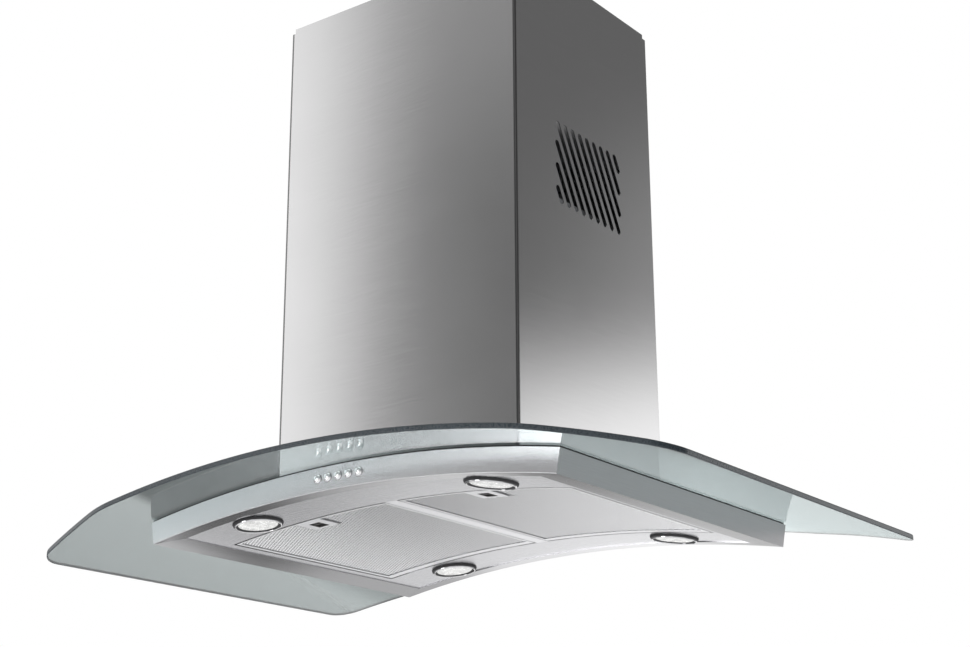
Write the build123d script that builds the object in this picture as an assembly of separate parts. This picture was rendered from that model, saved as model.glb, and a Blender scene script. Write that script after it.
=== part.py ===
from build123d import *
import math
import os

# Ceiling-hung island range hood with a curved glass canopy.
# Millimetres, +Z up. X is the long side of the glass, the push buttons face -Y.
# Origin: centre of the ceiling plate, on the face that is bolted to the ceiling.

# ---------------------------------------------------------------- driving dimensions
DROP = 630.0            # ceiling face to the lowest layer of the glass at its crown
GLASS_W = 900.0         # glass width
GLASS_D = 640.0         # glass depth at the middle
GLASS_T = 6.0
GLASS_R = 1620.0        # bend radius of the underside of the glass
GLASS_BEND_X = 303.0    # from here the front and rear edges run back at a slant
GLASS_SLANT = 0.28
GLASS_CORNER = 37.0
CUT_X, CUT_Y = 320.0, 256.0      # opening in the glass under the chimney

BODY_X = 593.0          # body width at the glass
BODY_D = 480.0
BODY_H = 29.0
SHEET = 1.0
LIP_Y = 20.0            # return lip under the front and rear fascia
LIP_XI = 258.0          # inner edge of the end lips
GASKET = 2.0

CH_X, CH_D = 360.0, 296.0        # lower chimney cover, outside
CH_TOP = 622.0                   # above the crown of the glass
UP_X, UP_D = 355.0, 291.0        # upper chimney cover, outside
UP_BOTTOM = 440.0
TRAVEL = 150.0                   # height adjustment

FIL_XI, FIL_XO = 10.0, 246.0     # filter edges
FIL_Y = 146.5
FIL_T = 9.0
FIL_RIM, FIL_REAR = 4.0, 11.0      # width of the frame at the sides and front, and at the rear
MESH_T = 2.4
OPEN_X, OPEN_Y = 248.5, 149.5    # opening in the underside panel

LAMP_X, LAMP_Y = 171.0, 187.5
LAMP_OD = 60.0

BTN_PITCH = 15.0
BTN_D = 10.6
BTN_Z = -14.7
BTN_TRAVEL = 2.5

TOWER_X, TOWER_Y = 300.0, 236.0
BOX_Z0, BOX_Z1 = 33.5, 350.0     # blower box
COLLAR_R = 75.0
FAN_Y, FAN_Z = 6.0, 152.0        # fan axis, parallel to X
FAN_R = 75.0

os.makedirs("parts", exist_ok=True)
UP = Location((0, 0, -DROP))


def save(name, shape):
    """Writes one sub-part, moved so that the ceiling face is Z = 0."""
    if isinstance(shape, (list, tuple)):
        shape = Compound(children=list(shape))
    moved = UP * shape
    moved.label = name
    export_step(moved, f"parts/{name}.step")


def bend(r, a):
    """Point at radius r and angle a on the bend of the glass."""
    return (r * math.sin(a), 0.0, r * math.cos(a) - GLASS_R)


def sector(r0, r1, a0, a1, y0, y1):
    """Bent slab between two radii and two angles, from y0 to y1."""
    m = (a0 + a1) / 2
    edges = [
        Edge.make_three_point_arc(bend(r0, a0), bend(r0, m), bend(r0, a1)),
        Edge.make_line(bend(r0, a1), bend(r1, a1)),
        Edge.make_three_point_arc(bend(r1, a1), bend(r1, m), bend(r1, a0)),
        Edge.make_line(bend(r1, a0), bend(r0, a0)),
    ]
    face = Face(Wire(edges)).moved(Location((0, y0, 0)))
    return Solid.extrude(face, Vector(0, y1 - y0, 0))


def ang(x, r=GLASS_R):
    return math.asin(x / r)


def box(x0, x1, y0, y1, z0, z1):
    return Pos((x0 + x1) / 2, (y0 + y1) / 2, (z0 + z1) / 2) * Box(x1 - x0, y1 - y0, z1 - z0)


def prism(points, z0=-150.0, z1=150.0):
    face = Face(Wire.make_polygon([(x, y, z0) for x, y in points], close=True))
    return Solid.extrude(face, Vector(0, 0, z1 - z0))


def rod(radius, p0, p1):
    a, b = Vector(*p0), Vector(*p1)
    d = b - a
    return Solid.make_cylinder(radius, d.length, Plane(origin=a, z_dir=d.normalized()))


def tube(ro, ri, p0, p1):
    return rod(ro, p0, p1) - rod(ri, p0, p1)


def at_bend(x, y, r):
    """Frame on the bend: local Z points out of the curve, away from the room."""
    a = ang(x, r)
    return Location((x, y, r * math.cos(a) - GLASS_R), (0, math.degrees(a), 0))


def below_glass_top(extra=0.1):
    """Everything under the upper face of the glass."""
    return rod(GLASS_R + GLASS_T + extra, (0, -400, -GLASS_R), (0, 400, -GLASS_R))


R = GLASS_R
TH_B = ang(BODY_X / 2)                    # end plates stand along the radius
R_TOP = R - GASKET                        # top of the body
R_BOT = R - BODY_H                        # bottom of the body
HY = BODY_D / 2
DT = SHEET / (R - BODY_H / 2)             # sheet thickness as an angle

# ---------------------------------------------------------------- glass canopy
hx, hy = GLASS_W / 2, GLASS_D / 2
yv = hy - GLASS_SLANT * (hx - GLASS_BEND_X)
outline = [(-GLASS_BEND_X, -hy), (GLASS_BEND_X, -hy), (hx, -yv), (hx, yv),
           (GLASS_BEND_X, hy), (-GLASS_BEND_X, hy), (-hx, yv), (-hx, -yv)]
plan = prism(outline, -120, 40)
corner_edges = [e for e in plan.edges().filter_by(Axis.Z) if abs(abs(e.center().X) - hx) < 1]
plan = plan.fillet(GLASS_CORNER, corner_edges)
bend_edges = [e for e in plan.edges().filter_by(Axis.Z) if abs(abs(e.center().X) - GLASS_BEND_X) < 1 and abs(abs(e.center().Y) - hy) < 1]
plan = plan.fillet(150.0, bend_edges)
glass = sector(R, R + GLASS_T, -ang(hx) - 0.01, ang(hx) + 0.01, -hy - 5, hy + 5) & plan
cut = box(-CUT_X / 2, CUT_X / 2, -CUT_Y / 2, CUT_Y / 2, -60, 60)
cut = cut.fillet(15.0, cut.edges().filter_by(Axis.Z))
glass = glass - cut
save("glass_canopy", glass)

# gasket between the body and the glass, a bent frame set back from the fascia
gasket = sector(R - GASKET, R, -TH_B + 0.0012, TH_B - 0.0012, -HY + 1.6, HY - 1.6)
gasket = gasket - sector(R - GASKET - 1, R + 1, -TH_B + 0.0085, TH_B - 0.0085, -HY + 12, HY - 12)
save("canopy_gasket", gasket)

# ---------------------------------------------------------------- body shell
mx = R_BOT * math.sin(TH_B)               # outer edge of the bottom, in plan
slope = LIP_Y / (mx - LIP_XI)             # mitre of the lips


def fascia(sign, holes):
    wall = sector(R_BOT, R_TOP, -TH_B, TH_B, -HY, -HY + SHEET)
    lip = sector(R_BOT, R_BOT + SHEET, -TH_B, TH_B, -HY, -HY + LIP_Y)
    lip = lip & prism([(-mx, -HY), (mx, -HY), (LIP_XI, -HY + LIP_Y), (-LIP_XI, -HY + LIP_Y)])
    top = sector(R_TOP - SHEET, R_TOP, -TH_B + 2 * DT, TH_B - 2 * DT, -HY, -HY + 14)
    part = wall + lip + top
    for x in holes:
        part = part - rod(BTN_D / 2 + 0.3, (x, -HY - 5, BTN_Z), (x, -HY + 5, BTN_Z))
    outer = [e for e in part.edges() if abs(e.center().Y + HY) < 0.01 and e.length > 400 and e.center().Z < -20]
    part = part.fillet(0.6, outer)
    return part if sign < 0 else part.mirror(Plane.XZ)


BTN_X = [(k - 2) * BTN_PITCH for k in range(5)]
save("front_fascia", fascia(-1, BTN_X))
save("rear_fascia", fascia(1, []))


def end_plate(sign):
    y1 = HY - SHEET - 0.05
    wall = sector(R_BOT, R_TOP, TH_B - DT, TH_B, -y1, y1)
    lip = sector(R_BOT, R_BOT + SHEET, ang(LIP_XI, R_BOT) - 0.02, TH_B, -y1, y1)
    g = 0.25
    far = mx + 20
    lip = lip & prism([(far, -HY - slope * 20 + g), (LIP_XI, -HY + LIP_Y + g), (LIP_XI, HY - LIP_Y - g), (far, HY + slope * 20 - g)])
    top = sector(R_TOP - SHEET, R_TOP, TH_B - 0.0086, TH_B, -HY + 14.3, HY - 14.3)
    part = wall + lip + top
    return part if sign > 0 else part.mirror(Plane.YZ)


save("right_end_plate", end_plate(1))
save("left_end_plate", end_plate(-1))

R_P = R_BOT + SHEET                        # lower face of the underside panel
body_top = sector(R_TOP - SHEET - 1.2, R_TOP - SHEET, -TH_B + 1.5 * DT, TH_B - 1.5 * DT, -HY + 1.2, HY - 1.2)
body_top = body_top - box(-TOWER_X / 2 - 0.2, TOWER_X / 2 + 0.2, -TOWER_Y / 2 - 0.2, TOWER_Y / 2 + 0.2, -80, 80)
save("body_top_plate", body_top)

# ---------------------------------------------------------------- underside panel
panel = sector(R_P, R_P + SHEET, -ang(284, R_P), ang(284, R_P), -HY + 5, HY - 5)
panel = panel - box(-OPEN_X, OPEN_X, -OPEN_Y, OPEN_Y, -120, 60)
for sx in (-1, 1):                         # folded-up edges beside the filters
    a0, a1 = ang(OPEN_X, R_P), ang(OPEN_X, R_P) + DT
    flange = sector(R_P, R_P + 9, min(sx * a0, sx * a1), max(sx * a0, sx * a1), -OPEN_Y, OPEN_Y)
    panel = panel + flange
LAMPS = {"front_left": (-LAMP_X, -LAMP_Y), "front_right": (LAMP_X, -LAMP_Y),
         "rear_left": (-LAMP_X, LAMP_Y), "rear_right": (LAMP_X, LAMP_Y)}
for x, y in LAMPS.values():
    panel = panel - at_bend(x, y, R_P) * Cylinder(27.0, 20)
save("underside_panel", panel)

divider = sector(R_P, R_P + 8, -ang(8.6, R_P), ang(8.6, R_P), -OPEN_Y - 6, OPEN_Y + 6)
divider = divider - sector(R_P + 1.4, R_P + 9, -ang(7.2, R_P), ang(7.2, R_P), -OPEN_Y - 7, OPEN_Y + 7)
notch = sector(R_P - 1, R_P + SHEET + 0.02, -ang(12, R_P), ang(12, R_P), -OPEN_Y - 8, -OPEN_Y)
divider = divider - notch - notch.mirror(Plane.XZ)
save("filter_divider", divider)

# ---------------------------------------------------------------- lamps
for name, (x, y) in LAMPS.items():
    loc = at_bend(x, y, R_P)
    # chrome ring: a rounded rim under the panel, a spigot up through its hole
    rim = [(22.5, 0.4), (24.2, -2.2), (26.6, -3.0), (28.6, -2.6), (30.0, -1.2), (30.0, 0.0), (26.7, 0.0), (26.7, 7.0), (24.8, 7.0), (24.8, 2.6), (22.5, 2.6)]
    ring = Solid.revolve(Face(Wire.make_polygon([(a, 0, b) for a, b in rim], close=True)), 360, Axis.Z)
    save(f"lamp_ring_{name}", loc * Pos(0, 0, -0.32) * ring)
    lens = Pos(0, 0, 3.78) * Cylinder(24.6, 3.0)
    save(f"lamp_lens_{name}", loc * lens)
pods, bulbs = [], []
for x, y in LAMPS.values():
    loc = at_bend(x, y, R_P)
    cup = [(24.6, 5.35), (24.6, 6.75), (28.5, 6.75), (28.5, 9.0), (26.2, 9.0), (26.2, 19.5), (3.6, 19.5), (3.6, 17.4), (9.0, 17.0), (17.0, 13.8), (22.4, 8.5), (23.8, 5.35)]
    pod = Solid.revolve(Face(Wire.make_polygon([(a, 0, b) for a, b in cup], close=True)), 360, Axis.Z)
    pods.append(loc * pod)
    bulb = Pos(0, 0, 13.0) * Cylinder(3.6, 12.4)
    bulb = bulb.fillet(2.5, bulb.edges().sort_by(Axis.Z)[:1])
    bulbs.append(loc * bulb)
save("lamp_reflectors", pods)
save("lamp_capsules", bulbs)

# ---------------------------------------------------------------- filters
R_F0, R_F1 = R_P, R_P + FIL_T
LATCH_Y = -124.0
LATCH_AT = {"left": 133.0, "right": 118.0}     # distance of each latch from the middle of the hood


def filter_parts(sign, latch_x):
    """Left-hand filter made at -X, mirrored for the right-hand one."""
    a0, a1 = -ang(FIL_XO, R_F0) - 0.01, -ang(FIL_XI, R_F0) + 0.01
    plan_out = box(-FIL_XO, -FIL_XI, -FIL_Y, FIL_Y, -120, 60)
    b = FIL_RIM
    plan_in = box(-FIL_XO + b, -FIL_XI - b, -FIL_Y + b, FIL_Y - FIL_REAR, -120, 60)
    slab = sector(R_F0, R_F1, a0, a1, -FIL_Y - 5, FIL_Y + 5)
    boss = box(-latch_x - 18, -latch_x + 18, -FIL_Y + 1, LATCH_Y + 16, -120, 60)
    frame = (slab & plan_out) - (plan_in - boss)
    hollow = sector(R_F0 + 0.7, R_F1 - 0.7, a0, a1, -FIL_Y + 1.4, FIL_Y - 8.6) & box(-FIL_XO + 1.4, -FIL_XI - 1.4, -FIL_Y + 1.4, FIL_Y - 8.6, -120, 60)
    frame = frame - (hollow - boss)        # groove that holds the mesh pack
    mesh = sector(R_F0 + 0.75, R_F0 + 0.75 + MESH_T, a0, a1, -FIL_Y, FIL_Y) & box(-FIL_XO + 1.7, -FIL_XI - 1.7, -FIL_Y + 1.7, FIL_Y - 8.9, -120, 60)
    mesh = mesh - box(-latch_x - 18.2, -latch_x + 18.2, -FIL_Y, LATCH_Y + 16.2, -120, 60)
    # latch pocket and the channel of its tongue
    loc = at_bend(-latch_x, 0, R_F0)
    frame = frame - loc * box(-8, 8, LATCH_Y - 9, LATCH_Y + 11, -1, 5.6)
    frame = frame - loc * box(-5.3, 5.3, -FIL_Y - 4, LATCH_Y - 8, 0.9, 4.3)
    # two tongues that rest on the rear edge of the opening
    for tx in (-205.0, -50.0):
        tongue = sector(R_P + SHEET + 0.1, R_P + SHEET + 1.6, -ang(-tx + 12, R_P), -ang(-tx - 12, R_P), FIL_Y - 8, OPEN_Y + 5)
        riser = sector(R_P + SHEET + 0.1, R_F1, -ang(-tx + 12, R_P), -ang(-tx - 12, R_P), FIL_Y - 8, FIL_Y - 1)
        frame = frame + tongue + riser
    slide = loc * box(-7.3, 7.3, LATCH_Y - 8.2, LATCH_Y - 0.2, 1.6, 4.0)
    nose = loc * box(-5.0, 5.0, -FIL_Y - 2.6, LATCH_Y - 8.0, 1.6, 4.0)
    grip = loc * box(-7.3, 7.3, LATCH_Y - 2.0, LATCH_Y - 0.2, 0.3, 4.0)
    latch = slide + nose + grip
    out = [frame, mesh, latch]
    return out if sign < 0 else [p.mirror(Plane.YZ) for p in out]


for sign, side in ((-1, "left"), (1, "right")):
    frame, mesh, latch = filter_parts(sign, LATCH_AT[side])
    save(f"{side}_filter_frame", frame)
    save(f"{side}_filter_mesh", mesh)
    save(f"{side}_filter_latch", latch)

# ---------------------------------------------------------------- push buttons
BTN_R = BTN_D / 2
for k, x in enumerate(BTN_X):
    profile = [(0, -3.6), (2.6, -3.35), (4.3, -2.5), (5.1, -1.4), (BTN_R, -0.3), (BTN_R, 1.4), (6.1, 1.4), (6.1, 2.4), (2.5, 2.4), (2.5, 14.0), (0, 14.0)]
    body = Solid.revolve(Face(Wire.make_polygon([(a, 0, -b) for a, b in profile], close=True)), 360, Axis.Z)
    # local +Z is the outer face; turned so that it looks towards -Y
    btn = Location((x, -HY, BTN_Z), (90, 0, 0)) * body
    save(f"button_{k + 1}", btn)

sw = box(-46, 46, -233.5, -215, -25.0, -6.2)
for x in BTN_X:
    sw = sw - rod(2.6, (x, -234, BTN_Z), (x, -221, BTN_Z))
for s in (-1, 1):
    sw = sw + box(s * 44 - 3.5, s * 44 + 3.5, -239.0, -233.5, -24.0, -7.5)
save("switch_block", sw)

# ---------------------------------------------------------------- tower through the glass
tower = box(-TOWER_X / 2, TOWER_X / 2, -TOWER_Y / 2, TOWER_Y / 2, -70, BOX_Z0 - 1.5)
tower = tower - box(-TOWER_X / 2 + 1.5, TOWER_X / 2 - 1.5, -TOWER_Y / 2 + 1.5, TOWER_Y / 2 - 1.5, -80, BOX_Z0 - 3.0)
tower = tower - box(-TOWER_X / 2 + 14, TOWER_X / 2 - 14, -TOWER_Y / 2 + 14, TOWER_Y / 2 - 14, -80, 80)
RT = R_TOP - SHEET - 1.2                   # lower face of the body top plate
tower = tower - rod(RT - 1.5, (0, -300, -R), (0, 300, -R))
flange = sector(RT - 1.5, RT, -ang(TOWER_X / 2 + 12, RT), ang(TOWER_X / 2 + 12, RT), -TOWER_Y / 2 - 12, TOWER_Y / 2 + 12)
flange = flange - box(-TOWER_X / 2 + 1, TOWER_X / 2 - 1, -TOWER_Y / 2 + 1, TOWER_Y / 2 - 1, -80, 80)
save("plenum_tower", tower + flange)

plate = box(-168, 168, -136, 136, BOX_Z0 - 1.5, BOX_Z0) - box(-TOWER_X / 2 + 14, TOWER_X / 2 - 14, -TOWER_Y / 2 + 14, TOWER_Y / 2 - 14, 0, 80)
save("blower_plate", plate)

clamps, pads = [], []
for x in (-95.0, 95.0):
    for s in (-1, 1):
        loc = at_bend(x, 0, R + GLASS_T)
        foot = loc * box(-20, 20, s * 128 - 10, s * 128 + 10, 1.5, 3.5)
        a = ang(x, R + GLASS_T)
        z = (R + GLASS_T + 2) * math.cos(a) - R
        web = box(x - 20, x + 20, min(s * 118, s * 120), max(s * 118, s * 120), z - 0.5, 30)
        clamps.append(foot + web)
        pads.append(loc * box(-19, 19, s * 133 - 4.5, s * 133 + 4.5, 0, 1.5))
save("glass_clamps", clamps)
save("clamp_pads", pads)

# ---------------------------------------------------------------- frame posts
def angle_bar(x, y, z0, z1, leg, t):
    """Angle bar with its outer corner at (x, y), legs towards the middle."""
    sx, sy = (1 if x > 0 else -1), (1 if y > 0 else -1)
    a = box(min(x, x - sx * leg), max(x, x - sx * leg), min(y, y - sy * t), max(y, y - sy * t), z0, z1)
    b = box(min(x, x - sx * t), max(x, x - sx * t), min(y, y - sy * leg), max(y, y - sy * leg), z0, z1)
    return a + b


COVER_SCREWS = [(x, z) for x in (-157.0, 157.0) for z in (60.0, 330.0)]
BOX_SCREWS = [(x, z) for x in (-143.0, 143.0) for z in (60.0, 190.0, 325.0)]
RIM_SCREWS = [(-150.0, DROP - 4.0), (150.0, DROP - 4.0)]
lower, upper = [], []
for sx in (-1, 1):
    for sy in (-1, 1):
        lower.append(angle_bar(sx * 167.6, sy * 135.6, BOX_Z0, 590, 20, 2))
        bar = angle_bar(sx * 170, sy * 138, 350, DROP - 3, 22, 2)
        foot = box(min(sx * 151, sx * 169), max(sx * 151, sx * 169), min(sy * 119, sy * 137), max(sy * 119, sy * 137), DROP - 5, DROP - 3)
        foot = foot - Pos(sx * 158, sy * 126, DROP) * Cylinder(1.95, 20)
        upper.append(bar + foot)
for k, bar in enumerate(lower):            # rear posts take the cover screws
    for x, z in COVER_SCREWS:
        bar = bar - rod(1.95, (x, 130, z), (x, 140, z))
    lower[k] = bar
save("lower_posts", lower)
save("upper_posts", upper)

# ---------------------------------------------------------------- ceiling plate
plate = box(-UP_X / 2 + 1, UP_X / 2 - 1, -UP_D / 2 + 1, UP_D / 2 - 1, DROP - 22, DROP)
plate = plate.fillet(2.0, plate.edges().filter_by(Axis.Z))
plate = plate - box(-UP_X / 2 + 3, UP_X / 2 - 3, -UP_D / 2 + 3, UP_D / 2 - 3, DROP - 23, DROP - 3)
plate = plate - Pos(0, 0, DROP) * Cylinder(79, 20)
cable_way = box(150.5, 172.5, 5, 35, DROP - 10, DROP + 10)   # mains cable passes here
plate = plate - cable_way.fillet(3.0, cable_way.edges().filter_by(Axis.Z))
for x in (-120, 120):
    for y in (-100, 100):
        plate = plate - Pos(x, y, DROP) * Cylinder(4.5, 20)
for x in (-158, 158):
    for y in (-126, 126):
        plate = plate - Pos(x, y, DROP - 3) * Cylinder(1.95, 4.2)
for x, z in RIM_SCREWS:
    plate = plate - rod(1.95, (x, 142, z), (x, 146, z))
save("ceiling_plate", plate)

# ---------------------------------------------------------------- chimney covers
slots = []
SLOT_W, SLOT_A = 7.8, -62.0
ca, sa = math.cos(math.radians(SLOT_A)), math.sin(math.radians(SLOT_A))
SY0, SY1, SZ0, SZ1 = -66.0, 72.0, 322.0, 427.0
PITCH = 15.5
for k in range(12):
    # a run down and back, clipped by the edges of the group
    y0, z0 = SY0 + 2 + (k - 3) * PITCH, SZ1
    y1, z1 = y0 - (SZ1 - SZ0) * ca / sa, SZ0
    if y0 < SY0:
        z0 += (SY0 - y0) * sa / ca
        y0 = SY0
    if y1 > SY1:
        z1 += (SY1 - y1) * sa / ca
        y1 = SY1
    length = math.hypot(y1 - y0, z1 - z0)
    cap = box(-200, 200, -length / 2 + SLOT_W / 2, length / 2 - SLOT_W / 2, -SLOT_W / 2, SLOT_W / 2)
    ends = [Pos(0, s * (length / 2 - SLOT_W / 2), 0) * Rot(0, 90, 0) * Cylinder(SLOT_W / 2, 400) for s in (-1, 1)]
    slot = cap + ends[0] + ends[1]
    slots.append(Location((0, (y0 + y1) / 2, (z0 + z1) / 2), (SLOT_A, 0, 0)) * slot)



def bent_u(half, y0, y1, z0, z1):
    """Sheet folded into a U that is open towards -Y, with bend radii at its two folds."""
    outer = box(-half, half, y0, y1, z0, z1)
    outer = outer.fillet(2.2, [e for e in outer.edges().filter_by(Axis.Z) if abs(e.center().Y - y1) < 0.01])
    inner = box(-half + SHEET, half - SHEET, y0 - 5, y1 - SHEET, z0 - 5, z1 + 5)
    inner = inner.fillet(1.2, [e for e in inner.edges().filter_by(Axis.Z) if abs(e.center().Y - y1 + SHEET) < 0.01])
    return outer - inner


cx, cy = CH_X / 2, CH_D / 2
rear = bent_u(cx, -cy + 2.6, cy, -40, CH_TOP)
rear = rear - below_glass_top()
for s in slots:
    rear = rear - s
for x, z in COVER_SCREWS:
    rear = rear - rod(1.95, (x, cy - 3, z), (x, cy + 3, z))
save("lower_rear_cover", rear)

front = box(-cx, cx, -cy, -cy + SHEET, -40, CH_TOP)
for s in (-1, 1):
    front = front + box(min(s * (cx - SHEET), s * cx), max(s * (cx - SHEET), s * cx), -cy, -cy + 2.0, -40, CH_TOP)
    front = front + box(min(s * (cx - SHEET), s * (cx - 2 * SHEET)), max(s * (cx - SHEET), s * (cx - 2 * SHEET)), -cy + 0.5, -cy + 14, -40, CH_TOP)
front = front - below_glass_top()
outer = [e for e in front.edges().filter_by(Axis.Z) if abs(abs(e.center().X) - cx) < 0.01 and abs(e.center().Y + cy) < 0.01]
front = front.fillet(1.3, outer)
save("lower_front_cover", front)

ux, uy = UP_X / 2, UP_D / 2
up_rear = bent_u(ux, -uy + 2.6, uy, UP_BOTTOM, DROP)
for x, z in RIM_SCREWS:
    up_rear = up_rear - rod(1.95, (x, uy - 3, z), (x, uy + 3, z))
save("upper_rear_cover", up_rear)
up_front = box(-ux, ux, -uy, -uy + SHEET, UP_BOTTOM, DROP)
for s in (-1, 1):
    up_front = up_front + box(min(s * (ux - SHEET), s * ux), max(s * (ux - SHEET), s * ux), -uy, -uy + 2.0, UP_BOTTOM, DROP)
    up_front = up_front + box(min(s * (ux - SHEET), s * (ux - 2 * SHEET)), max(s * (ux - SHEET), s * (ux - 2 * SHEET)), -uy + 0.5, -uy + 14, UP_BOTTOM, DROP - 23)
outer = [e for e in up_front.edges().filter_by(Axis.Z) if abs(abs(e.center().X) - ux) < 0.01 and abs(e.center().Y + uy) < 0.01]
up_front = up_front.fillet(1.3, outer)
save("upper_front_cover", up_front)

# ---------------------------------------------------------------- blower box
bx, by, t = TOWER_X / 2, TOWER_Y / 2, 1.2
casing = box(-bx, bx, -by, by, BOX_Z0, BOX_Z1) - box(-bx + t, bx - t, -by - 5, by - t, BOX_Z0 + t, BOX_Z1 - t)
casing = casing - box(-bx + 14, bx - 14, -by + 14, by - 14, BOX_Z0 - 5, BOX_Z0 + 5)
casing = casing - Pos(0, 0, BOX_Z1) * Cylinder(COLLAR_R - 1.2, 10)
for s in (-1, 1):                          # flanges that the cover is screwed to
    casing = casing + box(min(s * (bx - t), s * (bx - 13)), max(s * (bx - t), s * (bx - 13)), -by + t, -by + 2 * t, BOX_Z0 + t, BOX_Z1 - t)
casing = casing - box(-bx - 1, bx + 1, -by - 1, -by + t, BOX_Z0 + t, BOX_Z1 - t)
lid = box(-bx, bx, -by, -by + t, BOX_Z0 + t + 0.1, BOX_Z1 - t - 0.1)
for x, z in BOX_SCREWS:
    hole = rod(1.65, (x, -by - 2, z), (x, -by + 4, z))
    casing = casing - hole
    lid = lid - hole
save("blower_box", casing)
save("blower_box_cover", lid)

# scroll housing, split across the fan axis
W2 = 60.0
# outlet: straight up to the top of the box
y_out0, y_out1 = -50.0, 50.0
top_z = BOX_Z1 - t


def yz_prism(points, x0, x1):
    face = Face(Wire.make_polygon([(x0, y, z) for y, z in points], close=True))
    return Solid.extrude(face, Vector(x1 - x0, 0, 0))


# the spiral runs over the rear, under and up the front; the outlet rises above it
spiral = []
for k in range(0, 31):
    phi = math.radians(60 - k * 10)        # 60 deg (rear, above) clockwise to -240 deg
    rr = 84.0 + 24.0 * k / 30
    spiral.append((FAN_Y + rr * math.cos(phi), FAN_Z + rr * math.sin(phi)))
outer_pts = [(y_out1, top_z), (y_out1, spiral[0][1] + 6)] + spiral[0:] + [(y_out0 - 2, FAN_Z + 108.0), (y_out0, top_z)]
inner_sp = [(FAN_Y + (math.hypot(p[0] - FAN_Y, p[1] - FAN_Z) - 2) * math.cos(math.atan2(p[1] - FAN_Z, p[0] - FAN_Y)),
             FAN_Z + (math.hypot(p[0] - FAN_Y, p[1] - FAN_Z) - 2) * math.sin(math.atan2(p[1] - FAN_Z, p[0] - FAN_Y))) for p in spiral]
inner_pts = [(y_out1 - 2, top_z + 1), (y_out1 - 2, inner_sp[0][1] + 8)] + inner_sp + [(y_out0, FAN_Z + 108.0), (y_out0 + 2, top_z + 1)]
scroll = yz_prism(outer_pts, -W2, W2) - yz_prism(inner_pts, -W2 + 2, W2 - 2)
scroll = scroll - rod(64.0, (-W2 - 5, FAN_Y, FAN_Z), (W2 + 5, FAN_Y, FAN_Z))
for s in (-1, 1):                          # rolled rims of the two inlets
    scroll = scroll + tube(66.5, 64.0, (s * (W2 - 6), FAN_Y, FAN_Z), (s * W2, FAN_Y, FAN_Z))
save("scroll_right_half", scroll & box(0.05, 200, -200, 200, 0, 400))
save("scroll_left_half", scroll & box(-200, -0.05, -200, 200, 0, 400))

# impeller: centre disc, hub, end rings and forward-curved blades
disc = rod(FAN_R - 0.5, (-0.8, FAN_Y, FAN_Z), (0.8, FAN_Y, FAN_Z))
hub = rod(11, (-3, FAN_Y, FAN_Z), (16, FAN_Y, FAN_Z))
wheel = disc + hub
for s in (-1, 1):
    wheel = wheel + tube(FAN_R, 62.5, (s * 50, FAN_Y, FAN_Z), (s * 52, FAN_Y, FAN_Z))
blade = Pos(0, 68.5, 0) * Rot(32, 0, 0) * Box(103, 13.2, 1.0)
blades = [Location((0, FAN_Y, FAN_Z), (k * 360 / 32, 0, 0)) * blade for k in range(32)]
wheel = wheel.fuse(*blades) if not isinstance(wheel, ShapeList) else wheel[0].fuse(*blades)
wheel = wheel & rod(FAN_R, (-60, FAN_Y, FAN_Z), (60, FAN_Y, FAN_Z))
wheel = wheel - rod(4.0, (-20, FAN_Y, FAN_Z), (30, FAN_Y, FAN_Z))
save("impeller", wheel)
save("motor_shaft", rod(4.0, (-66, FAN_Y, FAN_Z), (18, FAN_Y, FAN_Z)))

motor = rod(43, (-60, FAN_Y, FAN_Z), (-9, FAN_Y, FAN_Z))
motor = motor.fillet(4.0, motor.edges())
motor = motor + rod(12, (-68, FAN_Y, FAN_Z), (-5, FAN_Y, FAN_Z))
motor = motor - rod(4.05, (-70, FAN_Y, FAN_Z), (0, FAN_Y, FAN_Z))
save("blower_motor", motor)

spider = tube(71, 68.0, (-64, FAN_Y, FAN_Z), (-60.1, FAN_Y, FAN_Z)) + tube(28, 12.0, (-62.2, FAN_Y, FAN_Z), (-60.1, FAN_Y, FAN_Z))
for k in range(3):
    arm = Pos(-62.2, 48, 0) * Box(3.6, 44, 12)
    spider = spider + Location((0, FAN_Y, FAN_Z), (90 + k * 120, 0, 0)) * (arm & box(-64, -60.1, 0, 100, -10, 10))
save("motor_bracket", spider)

# ---------------------------------------------------------------- outlet collar and non-return flaps
CZ = BOX_Z1
collar = Pos(0, 0, CZ + 29) * Cylinder(COLLAR_R, 58) - Pos(0, 0, CZ + 29) * Cylinder(COLLAR_R - 1.2, 70)
collar = collar + (Pos(0, 0, CZ + 0.75) * Cylinder(88, 1.5) - Pos(0, 0, CZ) * Cylinder(COLLAR_R - 1.2, 10))
collar = collar + (Pos(0, 0, CZ + 11) * Cylinder(COLLAR_R - 1.0, 2) - Pos(0, 0, CZ + 11) * Cylinder(COLLAR_R - 4.2, 10))
HZ, HX, PIN = CZ + 15.5, 4.5, 1.6
for s in (-1, 1):
    collar = collar - rod(PIN + 0.05, (s * HX, -80, HZ), (s * HX, 80, HZ))
save("outlet_collar", collar)
for s, side in ((-1, "left"), (1, "right")):
    half = Pos(0, 0, HZ - 1.3) * Cylinder(COLLAR_R - 2.2, 1.0)
    half = half & box(min(s * HX, s * 80), max(s * HX, s * 80), -80, 80, HZ - 5, HZ + 5)
    flap = half + rod(PIN, (s * HX, -COLLAR_R + 0.2, HZ), (s * HX, COLLAR_R - 0.2, HZ))
    save(f"flap_{side}", flap)

# ---------------------------------------------------------------- electrics
cap_body = rod(13, (-163.2, 40, 120), (-163.2, 40, 190))
cap_body = cap_body + rod(4, (-163.2, 40, 190), (-163.2, 40, 198))
save("run_capacitor", cap_body)

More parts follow.
